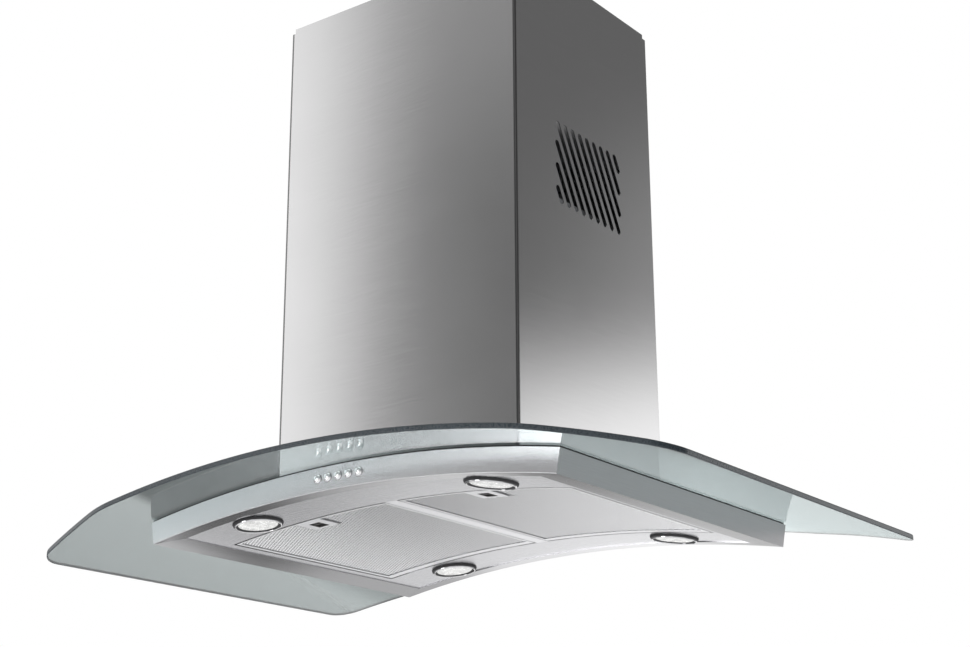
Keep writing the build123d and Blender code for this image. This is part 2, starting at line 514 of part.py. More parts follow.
tb = box(150, 173, -50, 50, 170, 245)
tb = tb.fillet(3.0, [e for e in tb.edges().filter_by(Axis.X)])
tb = tb - rod(8.2, (161.5, 20, 235), (161.5, 20, 260))
save("terminal_box", tb)
gland = rod(8.0, (161.5, 20, 236), (161.5, 20, 245)) + rod(11, (161.5, 20, 245), (161.5, 20, 251)) + rod(8.6, (161.5, 20, 251), (161.5, 20, 262))
gland = gland - rod(4.0, (161.5, 20, 230), (161.5, 20, 270))
save("cable_gland", gland)

tr = box(-146, -96, -40, 40, BOX_Z1, BOX_Z1 + 34)
tr = tr.fillet(2.5, tr.edges().filter_by(Axis.Z))
save("lamp_transformer", tr)

# ---------------------------------------------------------------- fasteners
def screw(p, d, head_r, head_h, shank_r, shank_l):
    """Pan-head screw with its seat at p and its head on the side that d points to."""
    v = Vector(*d).normalized()
    p = Vector(*p)
    head = Solid.make_cylinder(head_r, head_h, Plane(origin=p, z_dir=v))
    top = head.faces().sort_by(Axis(tuple(p), tuple(v)))[-1]
    head = head.fillet(head_h * 0.45, top.edges())
    cross = Plane(origin=p + v * (head_h * 0.45), z_dir=v)
    shank = Solid.make_cylinder(shank_r, shank_l, Plane(origin=p, z_dir=-v))
    body = head + shank
    for turn in (0, 90):
        slot = cross.location * (Rot(0, 0, turn) * (Pos(0, 0, head_h / 2) * Box(head_r * 1.1, head_r * 0.28, head_h)))
        body = body - slot
    return body


save("cover_screws", [screw((x, cy, z), (0, 1, 0), 4.0, 2.2, 1.9, 15) for x, z in COVER_SCREWS])
upper_screws = [screw((sx * 158, sy * 126, DROP - 5), (0, 0, -1), 3.4, 2.2, 1.9, 4.0) for sx in (-1, 1) for sy in (-1, 1)]
upper_screws += [screw((x, uy, z), (0, 1, 0), 3.4, 2.2, 1.9, 3.0) for x, z in RIM_SCREWS]
save("upper_screws", upper_screws)
save("blower_box_screws", [screw((x, -by, z), (0, -1, 0), 3.6, 2.0, 1.6, 3.6) for x, z in BOX_SCREWS])
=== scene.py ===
import math

import bmesh
import bpy
from mathutils import Euler, Matrix, Vector


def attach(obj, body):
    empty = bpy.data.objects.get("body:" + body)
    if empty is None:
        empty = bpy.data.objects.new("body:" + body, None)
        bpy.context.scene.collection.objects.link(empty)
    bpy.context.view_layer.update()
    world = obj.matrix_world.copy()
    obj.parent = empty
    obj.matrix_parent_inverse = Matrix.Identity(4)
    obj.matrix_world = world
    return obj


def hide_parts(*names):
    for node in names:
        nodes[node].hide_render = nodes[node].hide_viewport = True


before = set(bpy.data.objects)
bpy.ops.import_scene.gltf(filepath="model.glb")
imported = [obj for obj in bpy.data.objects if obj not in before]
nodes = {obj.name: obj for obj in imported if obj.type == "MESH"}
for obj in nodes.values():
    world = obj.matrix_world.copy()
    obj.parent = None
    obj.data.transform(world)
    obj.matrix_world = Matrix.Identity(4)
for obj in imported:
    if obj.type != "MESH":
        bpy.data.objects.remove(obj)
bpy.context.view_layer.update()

# ------------------------------------------------------------------ dimensions
# Millimetres with z = 0 at the crown of the glass; the row frame starts at the ceiling.
DROP = 630.0
R, T = 1620.0, 6.0                       # bend radius of the glass, its thickness
BODY_H, SHEET = 29.0, 1.0
R_BOT = R - BODY_H
R_P = R_BOT + SHEET                      # lower face of the underside panel
LAMPS = {"front_left": (-171.0, -187.5), "front_right": (171.0, -187.5),
         "rear_left": (-171.0, 187.5), "rear_right": (171.0, 187.5)}


def pt(x, y, z):
    """Millimetres from the crown of the glass to metres in the row frame."""
    return Vector((x / 1000.0, y / 1000.0, (z - DROP) / 1000.0))


def on_bend(x, y, r):
    return pt(x, y, math.sqrt(r * r - x * x) - R)


def at_bend(x, y, r):
    """Matrix on the bend, in metres: local Z points out of the curve."""
    a = math.asin(x / r)
    return Matrix.Translation(on_bend(x, y, r)) @ Euler((0, a, 0)).to_matrix().to_4x4()


# ------------------------------------------------------------------ mesh helpers
def finish_mesh(name, bm, material, sharp_deg=35.0, weighted=True):
    bmesh.ops.recalc_face_normals(bm, faces=bm.faces[:])
    lim = math.radians(sharp_deg)
    for f in bm.faces:
        f.smooth = True
    for e in bm.edges:
        if len(e.link_faces) == 2 and e.calc_face_angle(0.0) > lim:
            e.smooth = False
    me = bpy.data.meshes.new(name)
    bm.to_mesh(me)
    bm.free()
    ob = bpy.data.objects.new(name, me)
    bpy.context.scene.collection.objects.link(ob)
    me.materials.append(material)
    if weighted:
        m = ob.modifiers.new("weighted", "WEIGHTED_NORMAL")
        m.keep_sharp = True
        m.weight = 80
    return ob


def from_lists(verts, faces):
    bm = bmesh.new()
    vs = [bm.verts.new(v) for v in verts]
    for f in faces:
        bm.faces.new([vs[i] for i in f])
    return bm


def lathe(profile, seg, matrix, wobble=None):
    """Closed body of revolution. profile: (radius, height) in mm, a closed loop or one that starts and ends on the axis."""
    bm = bmesh.new()
    rings = []
    for r, h in profile:
        if r < 1e-6:
            rings.append([bm.verts.new(matrix @ Vector((0, 0, h / 1000)))])
            continue
        ring = []
        for k in range(seg):
            t = 2 * math.pi * k / seg
            hh = h + (wobble(r, t) if wobble else 0.0)
            ring.append(bm.verts.new(matrix @ Vector((r * math.cos(t) / 1000, r * math.sin(t) / 1000, hh / 1000))))
        rings.append(ring)
    n = len(rings)
    closed = len(rings[0]) > 1 and len(rings[-1]) > 1
    for i in range(n if closed else n - 1):
        a, b = rings[i], rings[(i + 1) % n]
        if len(a) == 1 and len(b) == 1:
            continue
        for k in range(seg):
            k2 = (k + 1) % seg
            if len(a) == 1:
                bm.faces.new((a[0], b[k], b[k2]))
            elif len(b) == 1:
                bm.faces.new((a[k], b[0], a[k2]))
            else:
                bm.faces.new((a[k], b[k], b[k2], a[k2]))
    return bm


def smooth_path(points, per=5):
    """Catmull-Rom through the points, ends kept."""
    out = []
    n = len(points)
    for i in range(n - 1):
        p0, p1, p2, p3 = points[max(i - 1, 0)], points[i], points[i + 1], points[min(i + 2, n - 1)]
        for k in range(per):
            t = k / per
            out.append(tuple(0.5 * ((2 * p1[j]) + (-p0[j] + p2[j]) * t + (2 * p0[j] - 5 * p1[j] + 4 * p2[j] - p3[j]) * t * t
                                    + (-p0[j] + 3 * p1[j] - 3 * p2[j] + p3[j]) * t ** 3) for j in (0, 1)))
    out.append(points[-1])
    return out


# ------------------------------------------------------------------ material helpers
def new_mat(name):
    m = bpy.data.materials.new(name)
    m.use_nodes = True
    nt = m.node_tree
    nt.nodes.clear()
    out = nt.nodes.new("ShaderNodeOutputMaterial")
    b = nt.nodes.new("ShaderNodeBsdfPrincipled")
    nt.links.new(b.outputs[0], out.inputs[0])
    return m, nt, b, out


def noise(nt, coords, scale, mapping, detail=3.0, rough=0.55):
    mp = nt.nodes.new("ShaderNodeMapping")
    mp.inputs["Scale"].default_value = mapping
    nt.links.new(coords, mp.inputs["Vector"])
    n = nt.nodes.new("ShaderNodeTexNoise")
    n.inputs["Scale"].default_value = scale
    n.inputs["Detail"].default_value = detail
    n.inputs["Roughness"].default_value = rough
    nt.links.new(mp.outputs[0], n.inputs["Vector"])
    return n.outputs["Fac"]


def remap(nt, value, lo, hi, from_lo=0.3, from_hi=0.7):
    m = nt.nodes.new("ShaderNodeMapRange")
    m.inputs["From Min"].default_value = from_lo
    m.inputs["From Max"].default_value = from_hi
    m.inputs["To Min"].default_value = lo
    m.inputs["To Max"].default_value = hi
    nt.links.new(value, m.inputs["Value"])
    return m.outputs["Result"]


def math_node(nt, op, a, b=None, c=None, clamp=False):
    m = nt.nodes.new("ShaderNodeMath")
    m.operation = op
    m.use_clamp = clamp
    for i, v in enumerate((a, b, c)):
        if v is None:
            continue
        if isinstance(v, (int, float)):
            m.inputs[i].default_value = v
        else:
            nt.links.new(v, m.inputs[i])
    return m.outputs[0]


def mix_color(nt, fac, a, b):
    m = nt.nodes.new("ShaderNodeMix")
    m.data_type = "RGBA"
    if isinstance(fac, (int, float)):
        m.inputs["Factor"].default_value = fac
    else:
        nt.links.new(fac, m.inputs["Factor"])
    for key, v in (("A", a), ("B", b)):
        sock = [s for s in m.inputs if s.name == key and s.type == "RGBA"][0]
        if isinstance(v, tuple):
            sock.default_value = (*v, 1.0)
        else:
            nt.links.new(v, sock)
    return [s for s in m.outputs if s.type == "RGBA"][0]


def bump(nt, bsdf, height, strength, distance):
    b = nt.nodes.new("ShaderNodeBump")
    b.inputs["Strength"].default_value = strength
    b.inputs["Distance"].default_value = distance
    nt.links.new(height, b.inputs["Height"])
    nt.links.new(b.outputs[0], bsdf.inputs["Normal"])
    return b


def object_coords(nt):
    return nt.nodes.new("ShaderNodeTexCoord").outputs["Object"]


def bend_coords(nt):
    """(arc length, y, radius) about the bend axis, so that grain can follow the curve."""
    sep = nt.nodes.new("ShaderNodeSeparateXYZ")
    nt.links.new(object_coords(nt), sep.inputs[0])
    dz = math_node(nt, "ADD", sep.outputs[2], (DROP + R) / 1000.0)
    r = math_node(nt, "SQRT", math_node(nt, "ADD", math_node(nt, "MULTIPLY", sep.outputs[0], sep.outputs[0]), math_node(nt, "MULTIPLY", dz, dz)))
    a = math_node(nt, "MULTIPLY", math_node(nt, "ARCTAN2", sep.outputs[0], dz), R / 1000.0)
    com = nt.nodes.new("ShaderNodeCombineXYZ")
    nt.links.new(a, com.inputs[0])
    nt.links.new(sep.outputs[1], com.inputs[1])
    nt.links.new(r, com.inputs[2])
    return com.outputs[0]


def steel(name, grain, color=(0.60, 0.598, 0.60), rough=0.30, aniso=0.0, grain_strength=1.0, coords="object", tangent=None, bump_strength=0.10, lip=None, fold_painted_shade=None):
    """Brushed stainless. grain: mapping scales, large across the brush lines. lip: (shade, roughness) of the faces that
    look down; the shade factor darkens their colour as painted shade.
    fold_painted_shade: (x, y, shade), the bent corners past x and y, whose colour the shade factor darkens into a
    painted dark shade line."""
    m, nt, b, _ = new_mat(name)
    co = object_coords(nt) if coords == "object" else bend_coords(nt)
    gx, gy, gz = grain
    fine = noise(nt, co, 1.0, (gx, gy, gz), 2.0, 0.6)
    coarse = noise(nt, co, 1.0, (gx * 0.3, gy * 0.3, gz * 0.3), 1.0, 0.5)
    smear = noise(nt, co, 7.0, (1, 1, 1), 3.0, 0.5)
    lines = math_node(nt, "ADD", math_node(nt, "MULTIPLY", fine, 0.94), math_node(nt, "MULTIPLY", coarse, 0.06))
    dark = tuple(c * (1 - 0.085 * grain_strength) for c in color)
    light = tuple(min(1.0, c * (1 + 0.075 * grain_strength)) for c in color)
    col = mix_color(nt, remap(nt, lines, 0, 1, 0.36, 0.64), dark, light)
    r1 = remap(nt, lines, rough * 0.96, rough * 1.04, 0.36, 0.64)
    r2 = remap(nt, smear, -0.006, 0.008)
    rr = math_node(nt, "ADD", r1, r2)
    # painted shade: the faces that look down get a darker copy of the colour
    if lip:
        sepn = nt.nodes.new("ShaderNodeSeparateXYZ")
        nt.links.new(nt.nodes.new("ShaderNodeTexCoord").outputs["Normal"], sepn.inputs[0])
        down = math_node(nt, "LESS_THAN", sepn.outputs[2], -0.8)
        col = mix_color(nt, down, col, tuple(c * lip[0] for c in color))
        rr = math_node(nt, "ADD", rr, math_node(nt, "MULTIPLY", down, lip[1] - rough))
    # painted shade: the bent corner strips get a darker copy of the colour
    if fold_painted_shade:
        sepf = nt.nodes.new("ShaderNodeSeparateXYZ")
        nt.links.new(object_coords(nt), sepf.inputs[0])
        fx = math_node(nt, "GREATER_THAN", math_node(nt, "ABSOLUTE", sepf.outputs[0]), fold_painted_shade[0])
        fy = math_node(nt, "GREATER_THAN", math_node(nt, "ABSOLUTE", sepf.outputs[1]), fold_painted_shade[1])
        col = mix_color(nt, math_node(nt, "MULTIPLY", fx, fy), col, tuple(c * fold_painted_shade[2] for c in color))
    nt.links.new(col, b.inputs["Base Color"])
    nt.links.new(rr, b.inputs["Roughness"])
    b.inputs["Metallic"].default_value = 1.0
    b.inputs["Anisotropic"].default_value = aniso
    if tangent:
        b.inputs["Anisotropic Rotation"].default_value = 0.25
        t = nt.nodes.new("ShaderNodeTangent")
        t.direction_type = "RADIAL"
        t.axis = tangent
        nt.links.new(t.outputs[0], b.inputs["Tangent"])
    bump(nt, b, lines, bump_strength, 0.0004)
    return m


# ------------------------------------------------------------------ materials
M = {}
# chimney covers, with a painted dark shade line down the bent corners
M["chimney"] = steel("brushed_chimney", (24, 24, 3400), (0.60, 0.597, 0.60), 0.145, 0.1, 0.35, tangent="Z", bump_strength=0.0004, fold_painted_shade=(0.1766, 0.1462, 0.28))
# fascia and end plates, with painted shade on the faces that look down
M["fascia"] = steel("brushed_fascia", (24, 3000, 3400), (0.560, 0.558, 0.572), 0.23, 0.0, 0.16, coords="bend", bump_strength=0.001, lip=(0.76, 0.11))
M["end"] = steel("brushed_end", (3400, 24, 3400), (0.565, 0.564, 0.578), 0.30, 0.0, 0.5, coords="object", bump_strength=0.001, lip=(0.76, 0.11))
M["panel"] = steel("satin_panel", (24, 3000, 3000), (0.585, 0.584, 0.602), 0.27, 0.0, 0.4, coords="bend", bump_strength=0.001)
M["divider"] = steel("satin_divider", (3000, 24, 3000), (0.80, 0.80, 0.815), 0.36, 0.0, 0.5, coords="bend", bump_strength=0.001)
M["turned"] = steel("turned_steel", (900, 900, 900), (0.55, 0.55, 0.56), 0.30, 0.0, 1.0)


def galvanised(name, color, rough=0.42):
    m, nt, b, _ = new_mat(name)
    co = object_coords(nt)
    v = nt.nodes.new("ShaderNodeTexVoronoi")
    v.feature = "F1"
    v.inputs["Scale"].default_value = 95.0
    warp = noise(nt, co, 60.0, (1, 1, 1), 2.0)
    add = nt.nodes.new("ShaderNodeVectorMath")
    add.operation = "ADD"
    com = nt.nodes.new("ShaderNodeCombineXYZ")
    w = math_node(nt, "MULTIPLY", warp, 0.010)
    for i in range(3):
        nt.links.new(w, com.inputs[i])
    nt.links.new(co, add.inputs[0])
    nt.links.new(com.outputs[0], add.inputs[1])
    nt.links.new(add.outputs[0], v.inputs["Vector"])
    sep = nt.nodes.new("ShaderNodeSeparateColor")
    nt.links.new(v.outputs["Color"], sep.inputs[0])
    spangle = sep.outputs[0]
    soil = noise(nt, co, 11.0, (1, 1, 1), 4.0)
    base = mix_color(nt, spangle, tuple(c * 0.86 for c in color), tuple(min(1, c * 1.12) for c in color))
    dirty = mix_color(nt, remap(nt, soil, 0.0, 0.35, 0.45, 0.8), base, tuple(c * 0.62 for c in color))
    nt.links.new(dirty, b.inputs["Base Color"])
    b.inputs["Metallic"].default_value = 0.9
    nt.links.new(math_node(nt, "ADD", remap(nt, spangle, rough - 0.08, rough + 0.10, 0, 1), remap(nt, soil, -0.03, 0.06)), b.inputs["Roughness"])
    bump(nt, b, math_node(nt, "ADD", spangle, soil), 0.08, 0.0003)
    return m


M["galv"] = galvanised("galvanised_sheet", (0.56, 0.58, 0.60))
# a darker copy of the galvanised sheet for the parts inside the body: painted shade
M["galv_painted_shade"] = galvanised("galvanised_interior_painted_shade", (0.46, 0.48, 0.50), 0.46)


def chrome(name, color, rough):
    m, nt, b, _ = new_mat(name)
    co = object_coords(nt)
    haze = noise(nt, co, 90.0, (1, 1, 1), 4.0)
    nt.links.new(mix_color(nt, remap(nt, haze, 0, 1), tuple(c * 0.96 for c in color), color), b.inputs["Base Color"])
    nt.links.new(remap(nt, haze, rough * 0.6, rough * 1.6), b.inputs["Roughness"])
    b.inputs["Metallic"].default_value = 1.0
    bump(nt, b, noise(nt, co, 700.0, (1, 1, 1), 2.0), 0.02, 0.0001)
    return m


M["chrome"] = chrome("polished_chrome", (0.62, 0.62, 0.63), 0.07)
M["button"] = chrome("satin_button", (0.82, 0.82, 0.83), 0.14)
M["alu"] = steel("satin_aluminium", (500, 500, 500), (0.72, 0.725, 0.735), 0.42, 0.0, 0.6, bump_strength=0.05)
M["filter_frame"] = steel("filter_frame_aluminium", (600, 45, 600), (0.76, 0.762, 0.775), 0.34, 0.0, 0.5, bump_strength=0.002)
M["filter_mesh"] = steel("filter_mesh_aluminium", (800, 800, 800), (0.86, 0.86, 0.875), 0.25, 0.0, 0.6, bump_strength=0.01)
# darker copies of the mesh aluminium for the layers deeper in the filter pack: painted shade
M["filter_mesh_inner"] = steel("filter_inner_mesh_aluminium_painted_shade", (800, 800, 800), (0.55, 0.55, 0.565), 0.32, 0.0, 0.6, bump_strength=0.01)
M["filter_back"] = steel("filter_inner_aluminium_painted_shade", (300, 900, 300), (0.30, 0.303, 0.31), 0.50, 0.0, 1.0, bump_strength=0.3)
M["reflector"] = chrome("lamp_reflector", (0.88, 0.88, 0.87), 0.10)


def plastic(name, color, rough=0.5, grain=900.0, strength=0.12):
    m, nt, b, _ = new_mat(name)
    co = object_coords(nt)
    pores = noise(nt, co, grain, (1, 1, 1), 3.0)
    cloud = noise(nt, co, 14.0, (1, 1, 1), 3.0)
    nt.links.new(mix_color(nt, remap(nt, cloud, 0, 1), tuple(c * 0.85 for c in color), tuple(min(1, c * 1.15) for c in color)), b.inputs["Base Color"])
    nt.links.new(math_node(nt, "ADD", remap(nt, pores, rough - 0.06, rough + 0.08), remap(nt, cloud, -0.03, 0.03)), b.inputs["Roughness"])
    bump(nt, b, pores, strength, 0.0002)
    return m


M["rubber"] = plastic("black_rubber", (0.022, 0.022, 0.024), 0.72, 1400.0, 0.2)
M["black_plastic"] = plastic("black_plastic", (0.055, 0.053, 0.052), 0.48)
M["fan_plastic"] = plastic("fan_plastic", (0.14, 0.14, 0.15), 0.5)
M["grey_plastic"] = plastic("grey_plastic", (0.36, 0.37, 0.39), 0.55)
M["motor_paint"] = plastic("motor_paint", (0.10, 0.10, 0.11), 0.38, 500.0, 0.15)

# canopy glass: clear float glass, green-grey where the light runs along it
m, nt, b, out = new_mat("canopy_glass")
b.inputs["Base Color"].default_value = (0.985, 0.995, 0.992, 1)
b.inputs["Transmission Weight"].default_value = 1.0
b.inputs["IOR"].default_value = 1.52
b.inputs["Specular IOR Level"].default_value = 0.32
co = object_coords(nt)
nt.links.new(remap(nt, noise(nt, co, 9.0, (1, 1, 1), 4.0), 0.0, 0.012), b.inputs["Roughness"])
vol = nt.nodes.new("ShaderNodeVolumeAbsorption")
vol.inputs["Color"].default_value = (0.30, 0.80, 0.82, 1)
vol.inputs["Density"].default_value = 24.0
nt.links.new(vol.outputs[0], out.inputs["Volume"])
M["glass"] = m

# ground edge of the glass sheet
m, nt, b, out = new_mat("canopy_glass_edge")
co = object_coords(nt)
nt.links.new(mix_color(nt, remap(nt, noise(nt, co, 60.0, (1, 1, 1), 3.0), 0, 1), (0.031, 0.042, 0.051), (0.040, 0.053, 0.063)), b.inputs["Base Color"])
nt.links.new(remap(nt, noise(nt, co, 500.0, (1, 1, 1), 2.0), 0.24, 0.32), b.inputs["Roughness"])
M["glass_edge"] = m

# lamp lens: frosted glass lit from behind
m, nt, b, out = new_mat("lamp_lens_glass")
co = object_coords(nt)
frost = noise(nt, co, 420.0, (1, 1, 1), 3.0)
nt.links.new(mix_color(nt, remap(nt, noise(nt, co, 130.0, (1, 1, 1), 2.0), 0, 1), (0.50, 0.50, 0.50), (0.84, 0.84, 0.83)), b.inputs["Base Color"])
b.inputs["Transmission Weight"].default_value = 0.35
b.inputs["IOR"].default_value = 1.5
nt.links.new(remap(nt, frost, 0.12, 0.32), b.inputs["Roughness"])
nt.links.new(mix_color(nt, remap(nt, noise(nt, co, 55.0, (1, 1, 1), 3.0), 0, 1), (0.55, 0.55, 0.54), (1.0, 1.0, 0.985)), b.inputs["Emission Color"])
b.inputs["Emission Strength"].default_value = 0.22
bump(nt, b, frost, 0.15, 0.0004)
M["lens"] = m

m, nt, b, out = new_mat("lamp_capsule_glass")
co = object_coords(nt)
b.inputs["Base Color"].default_value = (0.97, 0.97, 0.95, 1)
nt.links.new(remap(nt, noise(nt, co, 300.0, (1, 1, 1), 3.0), 0.05, 0.2), b.inputs["Roughness"])
b.inputs["Emission Color"].default_value = (1.0, 0.97, 0.9, 1)
b.inputs["Emission Strength"].default_value = 1.6
M["capsule"] = m

by_node = {
    "chimney": ["lower_front_cover", "lower_rear_cover", "upper_front_cover", "upper_rear_cover"],
    "fascia": ["front_fascia", "rear_fascia"],
    "end": ["left_end_plate", "right_end_plate"],
    "panel": ["underside_panel"],
    "divider": ["filter_divider"],
    "galv": ["ceiling_plate", "upper_posts", "lower_posts", "blower_plate", "plenum_tower", "body_top_plate", "glass_clamps", "outlet_collar"],
    # parts inside the body, in the darker copy: painted shade
    "galv_painted_shade": ["blower_box", "blower_box_cover", "scroll_left_half", "scroll_right_half", "motor_bracket"],
    "turned": ["upper_screws", "cover_screws", "blower_box_screws", "motor_shaft"],
    "rubber": ["canopy_gasket", "clamp_pads"],
    "black_plastic": ["switch_block", "cable_gland", "left_filter_latch", "right_filter_latch"],
    "fan_plastic": ["impeller"],
    "motor_paint": ["blower_motor"],
    "grey_plastic": ["terminal_box", "lamp_transformer"],
    "alu": ["run_capacitor", "flap_left", "flap_right"],
    "reflector": ["lamp_reflectors"],
    "capsule": ["lamp_capsules"],
    "filter_frame": ["left_filter_frame", "right_filter_frame"],
}
for key, names in by_node.items():
    for n in names:
        data = nodes[n].data
        data.materials.clear()
        data.materials.append(M[key])

# ------------------------------------------------------------------ glass canopy
HX, HY, SLANT, BX = 450.0, 320.0, 0.28, 303.0
YV = HY - SLANT * (HX - BX)


def fillet(p0, p1, p2, r, seg):
    """Points and outward normals of a rounded corner of a convex outline that runs anticlockwise."""
    d0 = ((p0[0] - p1[0]), (p0[1] - p1[1]))
    d2 = ((p2[0] - p1[0]), (p2[1] - p1[1]))
    l0, l2 = math.hypot(*d0), math.hypot(*d2)
    u0, u2 = (d0[0] / l0, d0[1] / l0), (d2[0] / l2, d2[1] / l2)
    half = math.acos(max(-1, min(1, u0[0] * u2[0] + u0[1] * u2[1]))) / 2
    t = r / math.tan(half)
    bis = (u0[0] + u2[0], u0[1] + u2[1])
    lb = math.hypot(*bis)
    c = (p1[0] + bis[0] / lb * r / math.sin(half), p1[1] + bis[1] / lb * r / math.sin(half))
    a0 = math.atan2(p1[1] + u0[1] * t - c[1], p1[0] + u0[0] * t - c[0])
    a1 = math.atan2(p1[1] + u2[1] * t - c[1], p1[0] + u2[0] * t - c[0])
    while a1 - a0 > math.pi:
        a1 -= 2 * math.pi
    while a1 - a0 < -math.pi:
        a1 += 2 * math.pi
    pts = []
    for k in range(seg + 1):
        a = a0 + (a1 - a0) * k / seg
        n = (math.cos(a), math.sin(a))
        pts.append(((c[0] + r * n[0], c[1] + r * n[1]), n))
    return pts


CUT_X, CUT_Y, CUT_R = 160.0, 128.0, 15.0
arc_x = [CUT_X - CUT_R + CUT_R * math.cos(math.radians(t)) for t in range(0, 91, 15)]
stations = sorted(set([round(s * x, 4) for x in arc_x for s in (-1, 1)] + [round(-270 + 9 * k, 4) for k in range(61)]))
stations = [x for i, x in enumerate(stations) if i == 0 or x - stations[i - 1] > 0.8 or any(abs(abs(x) - ax) < 1e-3 for ax in arc_x)]


def line_pts(p0, p1, count):
    dx, dy = p1[0] - p0[0], p1[1] - p0[1]
    l = math.hypot(dx, dy)
    n = (dy / l, -dx / l)
    return [((p0[0] + dx * k / count, p0[1] + dy * k / count), n) for k in range(1, count)]


c1 = fillet((-HX, 0), (-HX, -YV), (-BX, -HY), 37.0, 14)
c2 = fillet((-HX, -YV), (-BX, -HY), (BX, -HY), 150.0, 10)
c3 = fillet((-BX, -HY), (BX, -HY), (HX, -YV), 150.0, 10)
c4 = fillet((BX, -HY), (HX, -YV), (HX, 0), 37.0, 14)
x_lo, x_hi = c2[-1][0][0], c3[0][0][0]
straight = [((x, -HY), (0.0, -1.0)) for x in stations if x_lo + 2 < x < x_hi - 2]
chain = c1 + line_pts(c1[-1][0], c2[0][0], 13) + c2 + straight + c3 + line_pts(c3[-1][0], c4[0][0], 13) + c4


def hole_y(x):
    ax = abs(x)
    if ax <= CUT_X - CUT_R:
        return CUT_Y
    d = ax - (CUT_X - CUT_R)
    return CUT_Y - CUT_R + math.sqrt(max(0.0, CUT_R ** 2 - d * d))


MID = CUT_Y - CUT_R
prof = [(1.1, 0.0), (0.62, 0.10), (0.25, 0.35), (0.06, 0.75), (0.0, 1.2), (0.0, 4.8), (0.06, 5.25), (0.25, 5.65), (0.62, 5.90), (1.1, 6.0)]
bm = bmesh.new()


def gv(x, y, h):
    return bm.verts.new(pt(x, y, math.sqrt((R + h) ** 2 - x * x) - R))


rings = []
for inset, h in prof:
    front = [gv(p[0] - n[0] * inset, p[1] - n[1] * inset, h) for p, n in chain]
    rear = [gv(p[0] - n[0] * inset, -(p[1] - n[1] * inset), h) for p, n in chain]
    lx, rx = chain[0][0][0] + inset, chain[-1][0][0] - inset
    left = [gv(lx, -MID, h), gv(lx, MID, h)]
    right = [gv(rx, -MID, h), gv(rx, MID, h)]
    rings.append((front, rear, left, right))
for (f0, r0, l0, g0), (f1, r1, l1, g1) in zip(rings, rings[1:]):
    a = l0[::-1] + f0 + g0 + r0[::-1]
    c = l1[::-1] + f1 + g1 + r1[::-1]
    for i in range(len(a)):
        j = (i + 1) % len(a)
        bm.faces.new((a[i], a[j], c[j], c[i])).material_index = 1
holes = []
for (inset, h), (front, rear, left, right) in ((prof[0], rings[0]), (prof[-1], rings[-1])):
    xs = [p[0] - n[0] * inset for p, n in chain]
    inner = {}
    K = len(xs)
    for k, x in enumerate(xs):
        if abs(x) > CUT_X + 1e-3:
            inner[k] = (left[0], left[1]) if k == 0 else (right[0], right[1]) if k == K - 1 else (gv(x, -MID, h), gv(x, MID, h))
        else:
            inner[k] = (gv(x, -hole_y(x), h), gv(x, hole_y(x), h))
    for k in range(K - 1):
        bm.faces.new((front[k], front[k + 1], inner[k + 1][0], inner[k][0]))
        bm.faces.new((rear[k], inner[k][1], inner[k + 1][1], rear[k + 1]))
        if abs(xs[k]) >= CUT_X - 1e-3 and abs(xs[k + 1]) >= CUT_X - 1e-3 and xs[k] * xs[k + 1] > 0:
            bm.faces.new((inner[k][0], inner[k + 1][0], inner[k + 1][1], inner[k][1]))
    ks = [k for k in range(K) if abs(xs[k]) <= CUT_X + 1e-3]
    holes.append([inner[k][0] for k in ks] + [inner[k][1] for k in reversed(ks)])
for i in range(len(holes[0])):
    j = (i + 1) % len(holes[0])
    bm.faces.new((holes[0][i], holes[0][j], holes[1][j], holes[1][i]))
glass = finish_mesh("canopy_glass_sheet", bm, M["glass"], 50.0)
glass.data.materials.append(M["glass_edge"])
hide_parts("glass_canopy")
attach(glass, "hood_unit")

# ------------------------------------------------------------------ filter mesh: layers of expanded aluminium
FX0, FX1, FYA, FYB = 11.8, 244.2, -144.7, 137.5
LATCH_AT, LATCH_Y = {"left": 133.0, "right": 118.0}, -124.0


def expanded(side, sign, r0, a, b_, s, thick, twist, shift=0.0):
    """A bent sheet of diamond openings. a, b_: half diagonals in mm; s: size of the opening; twist: how far the strands turn."""
    bm = bmesh.new()
    level = {}
    lx = LATCH_AT[side]

    def outer(i, j, lvl):
        key = (i, j, lvl)
        if key not in level:
            level[key] = bm.verts.new(on_bend(sign * (FX0 + shift + i * a), FYA + j * b_, r0 + lvl * thick))
        return level[key]

    ni, nj = int((FX1 - FX0 - shift) / a), int((FYB - FYA) / b_)
    for i in range(1, ni):
        for j in range(1, nj):
            if (i + j) % 2:
                continue
            x, y = FX0 + shift + i * a, FYA + j * b_
            if x + a > FX1 or y + b_ > FYB:
                continue
            if lx - 18.2 - a < x < lx + 18.2 + a and y - b_ < LATCH_Y + 16.2:
                continue
            inner = [[bm.verts.new(on_bend(sign * (x + dx * s), y + dy * s, r0 + lvl * thick + tw))
                      for dx, dy, tw in ((a, 0, 0), (0, b_, twist), (-a, 0, 0), (0, -b_, -twist))] for lvl in (0, 1)]
            o = [[outer(i + 1, j, l), outer(i, j + 1, l), outer(i - 1, j, l), outer(i, j - 1, l)] for l in (0, 1)]
            for q in range(4):
                p = (q + 1) % 4
                bm.faces.new((o[0][q], o[0][p], inner[0][p], inner[0][q]))
                bm.faces.new((o[1][q], inner[1][q], inner[1][p], o[1][p]))
                bm.faces.new((inner[0][q], inner[0][p], inner[1][p], inner[1][q]))
    where = {v: k for k, v in level.items()}
    for e in [e for e in bm.edges if len(e.link_faces) == 1]:     # walls round the outer edge
        k0, k1 = where.get(e.verts[0]), where.get(e.verts[1])
        if k0 and k1 and k0[2] == 0 and k1[2] == 0:
            w0, w1 = level.get((k0[0], k0[1], 1)), level.get((k1[0], k1[1], 1))
            if w0 and w1:
                bm.faces.new((e.verts[0], e.verts[1], w1, w0))
    return bm


